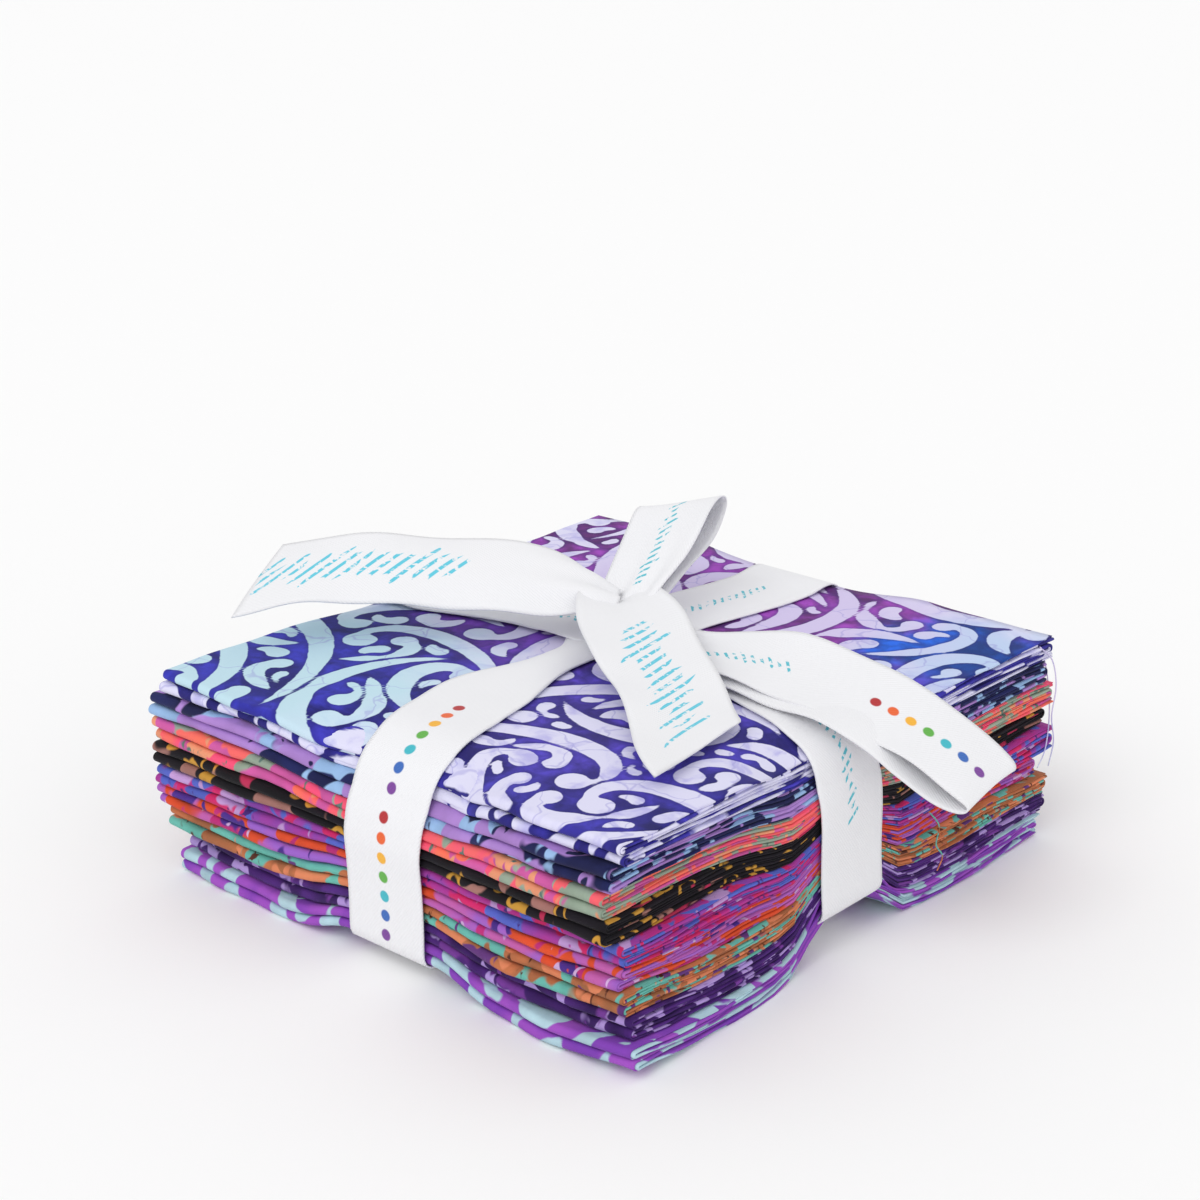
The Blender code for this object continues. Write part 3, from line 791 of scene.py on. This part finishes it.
# The bow's loops and tails, from the knot outward, in millimetres and degrees.
STRIP_COLUMNS = ("x", "y", "z", "across_yaw", "across_tilt", "width", "cup")
LARGE_LOOP = (
    (8.0, 4.0, 57.0, 14.0, 8.0, 10.0, 1.5),
    (5.5, -15.0, 56.4, 14.0, 10.0, 13.0, 2.0),
    (8.0, -29.0, 57.2, 12.0, 12.0, 19.0, 1.6),
    (10.0, -43.0, 57.0, 10.0, 14.0, 22.5, 1.0),
    (11.0, -60.0, 55.2, 10.0, 14.0, 23.0, 0.6),
    (12.0, -75.0, 51.6, 12.0, 13.0, 23.0, 0.3),
    (13.0, -86.5, 47.0, 12.0, 11.0, 22.5, 0.0),
    (14.2, -93.8, 41.6, 9.0, 4.0, 22.5, 0.0),
    (13.3, -92.8, 40.3, 8.0, 4.0, 22.5, 0.0),
    (11.4, -85.8, 41.8, 9.0, 4.0, 22.0, 0.0),
    (9.4, -79.0, 45.4, 10.0, 4.0, 22.0, 0.0),
    (7.6, -71.5, 50.8, 7.0, 1.0, 22.0, 0.0),
    (6.6, -60.0, 53.0, 6.0, 1.0, 21.0, 0.4),
    (6.6, -36.0, 53.2, 6.0, 0.0, 19.0, 0.6),
    (6.6, -14.0, 54.0, 8.0, 0.0, 14.0, 0.8),
    (8.0, 1.0, 56.0, 8.0, 0.0, 11.0, 0.5),
)
SMALL_LOOP = (
    (12.0, 6.0, 60.0, 108.0, -6.0, 14.0, 1.0),
    (20.5, 8.0, 64.5, 107.0, -12.0, 18.0, 1.2),
    (31.5, 11.5, 70.0, 106.0, -16.0, 22.0, 0.8),
    (40.5, 14.5, 74.0, 105.0, -17.0, 23.0, 0.3),
    (44.8, 15.5, 73.2, 105.0, -17.0, 23.0, 0.0),
    (44.0, 15.0, 70.0, 105.0, -16.0, 23.0, 0.0),
    (36.0, 12.5, 66.0, 105.0, -13.0, 22.0, 0.3),
    (25.0, 9.5, 61.4, 106.0, -9.0, 18.0, 0.6),
    (13.0, 6.5, 57.5, 107.0, -4.0, 13.0, 0.5),
)
BACK_TAIL = (
    (10.0, 7.0, 59.5, 40.0, 0.0, 14.0, 1.5),
    (5.2, 12.0, 62.6, 40.0, 16.0, 18.5, 1.8),
    (0.0, 19.5, 64.6, 40.0, 24.0, 22.5, 1.6),
    (-9.6, 33.0, 65.8, 40.0, 26.0, 23.0, 1.6),
    (-22.0, 49.0, 67.0, 40.0, 25.0, 23.5, 1.4),
    (-34.0, 61.5, 67.0, 37.0, 18.0, 24.5, 0.8),
    (-44.5, 70.5, 65.5, 27.0, 11.0, 33.0, 0.2),
)
FRONT_TAIL = (
    (20.5, 15.5, 56.5, -40.0, 0.0, 13.0, 1.5),
    (16.5, 11.5, 61.2, -40.0, 2.0, 14.0, 3.2),
    (10.0, 5.8, 63.6, -40.0, 0.0, 19.0, 3.4),
    (2.6, -3.4, 62.2, -40.0, -2.0, 24.5, 1.8),
    (-6.8, -16.2, 59.6, -40.0, 0.0, 25.0, 0.8),
    (-16.5, -32.0, 56.8, -39.0, 0.0, 23.5, 0.5),
    (-26.4, -44.5, 55.0, -28.0, -2.0, 24.5, 0.3),
    (-36.2, -54.5, 54.0, 12.0, -4.0, 32.0, 0.0),
)
STRIP_STEPS = 9
ACROSS_STEPS = 20
PLEAT = 0.7
PLEAT_WAVES = 2.4
PLEAT_REACH = 16.0
EDGE_WAVE = 0.45
EDGE_WAVES = ((31.0, 1.0), (23.0, -1.0), (47.0, 1.0))

# The ribbon's prints: dots in the rainbow's order, and rows of slanting brush dashes as half height,
# spacing, half the row's length, lean and ink. Where nothing is printed, the row is far away.
FAR = 900.0
RAINBOW = ("#B3262B", "#E8622A", "#F2B233", "#5FAE45", "#3BB6C4", "#3567B8", "#7A3F98")
DOT_ROWS = ("dots_at", "next_dots_at")
DOT_PITCH = 4.6
DOT_RADIUS = 1.35
DASH_ROWS = {
    "dashes_at": (4.4, 3.4, 25.0, 0.9, "#5CC8DE"),
    "ticks_at": (1.5, 2.3, 17.0, 0.7, "#52BCCC"),
    "next_ticks_at": (1.5, 2.3, 17.0, 0.7, "#52BCCC"),
}
INK_EDGE = 0.2
BROKEN_INK = (1.6, 0.44, 0.05, 2)


def smooth_rows(table, steps):
    """Rows of a table with even steps between them, on a smooth curve through every row."""
    rows = np.array(table, dtype=float)
    padded = np.vstack([2 * rows[0] - rows[1], rows, 2 * rows[-1] - rows[-2]])
    out = []
    for i in range(1, len(padded) - 2):
        a, b, c, d = padded[i - 1:i + 3]
        for step in range(steps):
            t = step / steps
            out.append(0.5 * (2 * b + (c - a) * t + (2 * a - 5 * b + 4 * c - d) * t ** 2
                              + (3 * b - a - 3 * c + d) * t ** 3))
    return np.array(out + [rows[-1]])


def ribbon_grid(middle, across, width, cup, seed, pleats=(False, False), wave=0.0, prints=()):
    """Points of a length of ribbon: cupped, pleated where the knot grips it, and wavy at its edges."""
    normal = np.cross(np.gradient(middle, axis=0), across)
    normal /= np.linalg.norm(normal, axis=1)[:, None]
    length = distance_along(middle)
    share = np.linspace(-1, 1, ACROSS_STEPS + 1)
    dice = np.random.default_rng(seed)
    bow = (1 - share[None, :] ** 2) * cup[:, None]
    for gripped, away in zip(pleats, (length, length[-1] - length)):
        if gripped:
            fold = np.cos(PLEAT_WAVES * math.pi * share + dice.uniform(0, 2 * math.pi))
            bow = bow + PLEAT * fold[None, :] * np.exp(-(away / PLEAT_REACH) ** 2)[:, None]
    for reach, side in EDGE_WAVES:
        line = np.sin(2 * math.pi * (length / reach + dice.uniform(0, 1)))
        bow = bow + wave * line[:, None] * np.clip(side * share, 0, 1)[None, :] ** 2
    points = (middle[:, None] + across[:, None] * share[None, :, None] * width[:, None, None] / 2
              + normal[:, None] * bow[:, :, None])
    plan = np.stack([np.broadcast_to(length[:, None], bow.shape),
                     np.broadcast_to(share[None, :] * RIBBON_WIDTH / 2, bow.shape)], axis=-1)
    marks = {kind: np.full(bow.shape, FAR) for kind in (*DOT_ROWS, *DASH_ROWS)}
    for kind, place in prints:
        marks[kind] = np.broadcast_to(length[:, None] - place, bow.shape)
    return {"points": points, "plan": plan, "marks": marks}


def bow_strip(table, seed, pleats, prints=()):
    """A loop or tail of the bow, along the rows of its table."""
    strip = dict(zip(STRIP_COLUMNS, smooth_rows(table, STRIP_STEPS).T))
    middle = np.stack([strip["x"], strip["y"], strip["z"]], axis=1)
    yaw, tilt = np.radians(strip["across_yaw"]), np.radians(strip["across_tilt"])
    across = np.stack([np.cos(tilt) * np.cos(yaw), np.cos(tilt) * np.sin(yaw), np.sin(tilt)], axis=1)
    return ribbon_grid(middle, across, strip["width"], -strip["cup"], seed, pleats, EDGE_WAVE, prints)


def hull(points):
    """The corners of the tightest loop round some points, turning left all the way."""
    def chain(line):
        kept = []
        for p in line:
            while len(kept) > 1:
                a, b = kept[-2], kept[-1]
                if (b[0] - a[0]) * (p[1] - a[1]) - (b[1] - a[1]) * (p[0] - a[0]) > 0:
                    break
                kept.pop()
            kept.append(p)
        return kept[:-1]
    ordered = sorted(map(tuple, points))
    return np.array(chain(ordered) + chain(ordered[::-1]))


def tight_line(section):
    """The line of a ribbon drawn tight round a section of the stack, a little stiff on top."""
    corners = hull(section)
    closed = np.vstack([corners, corners[:1]])
    length = distance_along(closed)
    places = np.linspace(0, length[-1], int(length[-1] / BAND_STEP) + 1)[:-1]
    line = np.stack([np.interp(places, length, part) for part in closed.T], axis=1)
    close = (np.roll(line, 1, axis=0) + line + np.roll(line, -1, axis=0)) / 3
    steps = range(-(BAND_STIFF // 2), BAND_STIFF // 2 + 1)
    stiff = sum(np.roll(close, step, axis=0) for step in steps) / BAND_STIFF
    line = close + (stiff - close) * ease(close[:, 1:], *BAND_STIFF_ABOVE)
    along = np.roll(line, -1, axis=0) - np.roll(line, 1, axis=0)
    outward = np.stack([along[:, 1], -along[:, 0]], axis=1) / np.linalg.norm(along, axis=1)[:, None]
    push = np.zeros(len(line))
    for corner in corners:
        away = np.linalg.norm(line - corner, axis=1)
        near = np.argmin(away)
        past = max(np.dot(corner - line[near], outward[near]), 0.0)
        push = np.maximum(push, past * np.exp(-(away / PUSH_REACH) ** 2))
    line = line + (BAND_CLEAR + push)[:, None] * outward
    # Its ends meet underneath, near the middle.
    start = np.argmin(np.abs(line[:, 0]) + 10 * line[:, 1])
    line = np.roll(line, -start, axis=0)
    return np.vstack([line, line[:1]])


def knot_effect(effect, along):
    """How strongly the knot pulls or gathers a band, at places along it."""
    amount, first, full, leaves, last = effect
    return amount * ease(along, first, full) * (1 - ease(along, leaves, last))


def ribbon_band(lengthwise, cloths, width, seed, prints):
    """A band of ribbon drawn tight round the stack, along X or along Y."""
    run, side = (0, 1) if lengthwise else (1, 0)
    pull = PULL_ALONG_X if lengthwise else PULL_ALONG_Y
    pulled = knot_effect(pull, cloths[:, run]) * (cloths[:, 2] > STACK_TOP / 2)
    under_ribbon = cloths[np.abs(cloths[:, side] - pulled) < width / 2]
    path = tight_line(under_ribbon[:, (run, 2)])
    if not lengthwise:
        path[:, 1] += RIDGE * (1 - ease(np.abs(path[:, 0] - RIDGE_PLACE), *RIDGE_REACH))
    middle = np.zeros((len(path), 3))
    middle[:, run], middle[:, 2] = path[:, 0], path[:, 1]
    on_top = ease(path[:, 1], STACK_TOP / 2, STACK_TOP - TOP_MARGIN)
    middle[:, side] = knot_effect(pull, path[:, 0]) * on_top
    gathered = knot_effect(GATHER_ALONG_X, path[:, 0]) * on_top if lengthwise else np.zeros(len(path))
    onward = np.gradient(middle, axis=0)
    onward /= np.linalg.norm(onward, axis=1)[:, None]
    across = np.eye(3)[side] - onward * onward[:, side:side + 1]
    across /= np.linalg.norm(across, axis=1)[:, None]
    grid = ribbon_grid(middle, across, width - gathered, -GATHER_RISE * gathered, seed, prints=prints)
    grid["points"][-1] = grid["points"][0]
    return grid


def printed_dots(tree, plan, colour, place):
    """A row of small round dots in the rainbow's order, printed on the ribbon."""
    run = add_node(tree, "Attribute", {"attribute_name": place}).outputs["Fac"]
    across = add_node(tree, "SeparateXYZ", (), {0: plan}).outputs["Y"]
    near = add_node(tree, "Math", {"operation": "PINGPONG", 1: DOT_PITCH / 2}, {0: run})
    spot = add_node(tree, "CombineXYZ", (), {0: near, 1: across})
    away = add_node(tree, "VectorMath", {"operation": "LENGTH"}, {0: spot})
    dot = spread_past(tree, away.outputs["Value"], DOT_RADIUS, -INK_EDGE)
    far = add_node(tree, "Math", {"operation": "ABSOLUTE"}, {0: run})
    whole = DOT_PITCH * len(RAINBOW)
    inside = add_node(tree, "Math", {"operation": "LESS_THAN", 1: whole / 2}, {0: far})
    mask = add_node(tree, "Math", {"operation": "MULTIPLY"}, {0: dot, 1: inside})
    share = add_node(tree, "Math", {"operation": "MULTIPLY_ADD", 1: 1 / whole, 2: 0.5}, {0: run})
    ramp = add_node(tree, "ValToRGB", (), {0: share})
    ramp.color_ramp.interpolation = "CONSTANT"
    stops = ramp.color_ramp.elements
    for number, ink in enumerate(RAINBOW):
        stop = stops.new(number / len(RAINBOW)) if number else stops[0]
        stop.color = srgb(ink)
    stops.remove(stops[-1])
    return add_node(tree, "Mix", {"data_type": "RGBA"}, {0: mask, 6: colour, 7: ramp}).outputs[2]


def printed_dashes(tree, plan, colour, place):
    """A row of short slanting brush dashes, uneven in length and broken in their ink."""
    tall, pitch, run_out, lean, ink = DASH_ROWS[place]
    run = add_node(tree, "Attribute", {"attribute_name": place}).outputs["Fac"]
    across = add_node(tree, "SeparateXYZ", (), {0: plan}).outputs["Y"]
    slant = add_node(tree, "Math", {"operation": "MULTIPLY_ADD", 1: lean}, {0: across, 2: run})
    uneven = add_node(tree, "TexNoise", {"noise_dimensions": "1D", "Scale": 0.9 / pitch, "Detail": 0.0},
                      {"W": slant})
    near = add_node(tree, "Math", {"operation": "PINGPONG", 1: pitch / 2}, {0: slant})
    reach = add_node(tree, "Math", {"operation": "MULTIPLY_ADD", 1: 2.2 * tall, 2: -0.2 * tall},
                     {0: uneven})
    aside = add_node(tree, "Math", {"operation": "ABSOLUTE"}, {0: across})
    past = add_node(tree, "Math", {"operation": "SUBTRACT"}, {0: aside, 1: reach})
    long_way = spread_past(tree, past, 0.0, -INK_EDGE)
    thin_way = spread_past(tree, near, 0.19 * pitch, -0.04 * pitch)
    onward = add_node(tree, "Math", {"operation": "ABSOLUTE"}, {0: slant})
    ends = add_node(tree, "Math", {"operation": "LESS_THAN", 1: run_out}, {0: onward})
    mask = long_way
    for part in (thin_way, ends, blotch(tree, plan, *BROKEN_INK)):
        mask = add_node(tree, "Math", {"operation": "MULTIPLY"}, {0: mask, 1: part})
    return over(tree, mask, colour, ink)


def twill_ribbon():
    """Bleached cotton twill tape, woven narrow: soft and matt, with a faint slanting grain.

    The wave draws a rib every 0.314 mm at scale 1, so these are 0.63 mm apart, as on a real tape.
    """
    material, tree, shader, plan = cloth_base("white_twill")
    white = add_node(tree, "RGB")
    white.outputs[0].default_value = srgb("#ECECEF")
    colour = white
    for place in DOT_ROWS:
        colour = printed_dots(tree, plan, colour, place)
    for place in DASH_ROWS:
        colour = printed_dashes(tree, plan, colour, place)
    tree.links.new(colour, shader.inputs["Base Color"])
    for socket, value in (("Roughness", 0.7), ("IOR", 1.46), ("Sheen Weight", 0.15)):
        shader.inputs[socket].default_value = value
    turned = add_node(tree, "Mapping", {"vector_type": "POINT", "Rotation": (0, 0, math.radians(52))},
                      {"Vector": plan})
    ribs = add_node(tree, "TexWave", {"Scale": 0.5, "Distortion": 0.4, "Detail": 1.0}, {"Vector": turned})
    relief = add_node(tree, "Bump", {"Strength": 0.35, "Distance": 0.15 * MM},
                      {"Height": ribs.outputs["Fac"]})
    tree.links.new(relief.outputs[0], shader.inputs["Normal"])
    return material


def tied_ribbon(cloths):
    """The whole ribbon. Each length says how far along it the middle of a printed row lies."""
    grids = [
        ribbon_band(True, cloths, RIBBON_WIDTH, 1,
                    (("dots_at", 253.0), ("next_dots_at", 287.0), ("ticks_at", 152.0))),
        ribbon_band(False, cloths, CUPPED_WIDTH, 2, (("ticks_at", 251.0), ("next_ticks_at", 148.0))),
        bow_strip(LARGE_LOOP, 3, (True, True), (("dots_at", 85.0), ("ticks_at", 32.0))),
        bow_strip(SMALL_LOOP, 4, (True, True), (("ticks_at", 22.0),)),
        bow_strip(BACK_TAIL, 5, (True, False), (("dashes_at", 62.0),)),
        bow_strip(FRONT_TAIL, 6, (True, False), (("dashes_at", 58.0),)),
    ]
    piece = thick_cloth("tied_ribbon", grids, twill_ribbon(), TWILL)
    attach(piece, "root")
    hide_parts("ribbon")
    return piece


# The room: half the floor's side in metres, the white room's light, and the windows as the way their
# light falls, its strength and how softly it spreads.
FLOOR_HALF = 3.0
ROOM_LIGHT = 0.78
WINDOWS = {
    "window_left": ((0.75, 0.10, -0.85), 0.85, 42.0),
    "window_front": ((0.20, 0.80, -0.55), 0.25, 60.0),
}


def studio():
    """A floor of matt white card, which shows soft shadows and no gloss, in a white room with windows."""
    mesh = bpy.data.meshes.new("floor")
    corners = [(x * FLOOR_HALF, y * FLOOR_HALF, 0) for x, y in ((-1, -1), (1, -1), (1, 1), (-1, 1))]
    mesh.from_pydata(corners, [], [(0, 1, 2, 3)])
    floor = bpy.data.objects.new("floor", mesh)
    bpy.context.scene.collection.objects.link(floor)
    material = bpy.data.materials.new("pale_floor")
    material.use_nodes = True
    shader = material.node_tree.nodes["Principled BSDF"]
    shader.inputs["Base Color"].default_value = srgb("#FAFAFA")
    shader.inputs["Roughness"].default_value = 0.9
    mesh.materials.append(material)
    world = bpy.data.worlds.new("white_room")
    world.use_nodes = True
    sky = world.node_tree.nodes["Background"]
    sky.inputs["Color"].default_value = srgb("#FFFFFF")
    sky.inputs["Strength"].default_value = ROOM_LIGHT
    bpy.context.scene.world = world
    for name, (toward, strength, spread) in WINDOWS.items():
        data = bpy.data.lights.new(name, "SUN")
        data.energy = strength
        data.angle = math.radians(spread)
        light = bpy.data.objects.new(name, data)
        bpy.context.scene.collection.objects.link(light)
        light.rotation_euler = Vector(toward).to_track_quat("-Z", "Y").to_euler()


# The photo's camera, fitted to the stack's corners: it looks between +X and +Y and down, rolled a little.
CAMERA_PLACE = (-0.3866, -0.3476, 0.2565)
CAMERA_YAW = math.radians(47.78)
CAMERA_PITCH = math.radians(20.26)
CAMERA_ROLL = math.radians(0.73)
CAMERA_LENS = 73.0


def photo_camera():
    """The camera at the photo's place. Its axes are worked out level first, then rolled and turned."""
    data = bpy.data.cameras.new("camera")
    data.sensor_width = 36.0
    data.lens = CAMERA_LENS
    data.clip_start = 0.01
    camera = bpy.data.objects.new("camera", data)
    bpy.context.scene.collection.objects.link(camera)
    level = np.array([1.0, 0.0, 0.0])
    upright = np.array([0.0, math.sin(CAMERA_PITCH), math.cos(CAMERA_PITCH)])
    ahead = np.array([0.0, math.cos(CAMERA_PITCH), -math.sin(CAMERA_PITCH)])
    right = math.cos(CAMERA_ROLL) * level - math.sin(CAMERA_ROLL) * upright
    up = math.sin(CAMERA_ROLL) * level + math.cos(CAMERA_ROLL) * upright
    c, s = math.cos(CAMERA_YAW), math.sin(CAMERA_YAW)
    turn = np.array([[c, s, 0.0], [-s, c, 0.0], [0.0, 0.0, 1.0]])
    axes = np.stack([turn @ right, turn @ up, -(turn @ ahead)], axis=1)
    camera.matrix_world = Matrix.Translation(CAMERA_PLACE) @ Matrix(axes.tolist()).to_4x4()
    bpy.context.scene.camera = camera


bpy.context.scene.view_settings.view_transform = "Standard"
photo_camera()
studio()
cloth_points = []
for number, row in enumerate(CLOTHS):
    cloth, points = folded_cloth(dict(zip(CLOTH_COLUMNS, row)), number)
    cloth_points.append(points)
ribbon = tied_ribbon(np.concatenate(cloth_points))
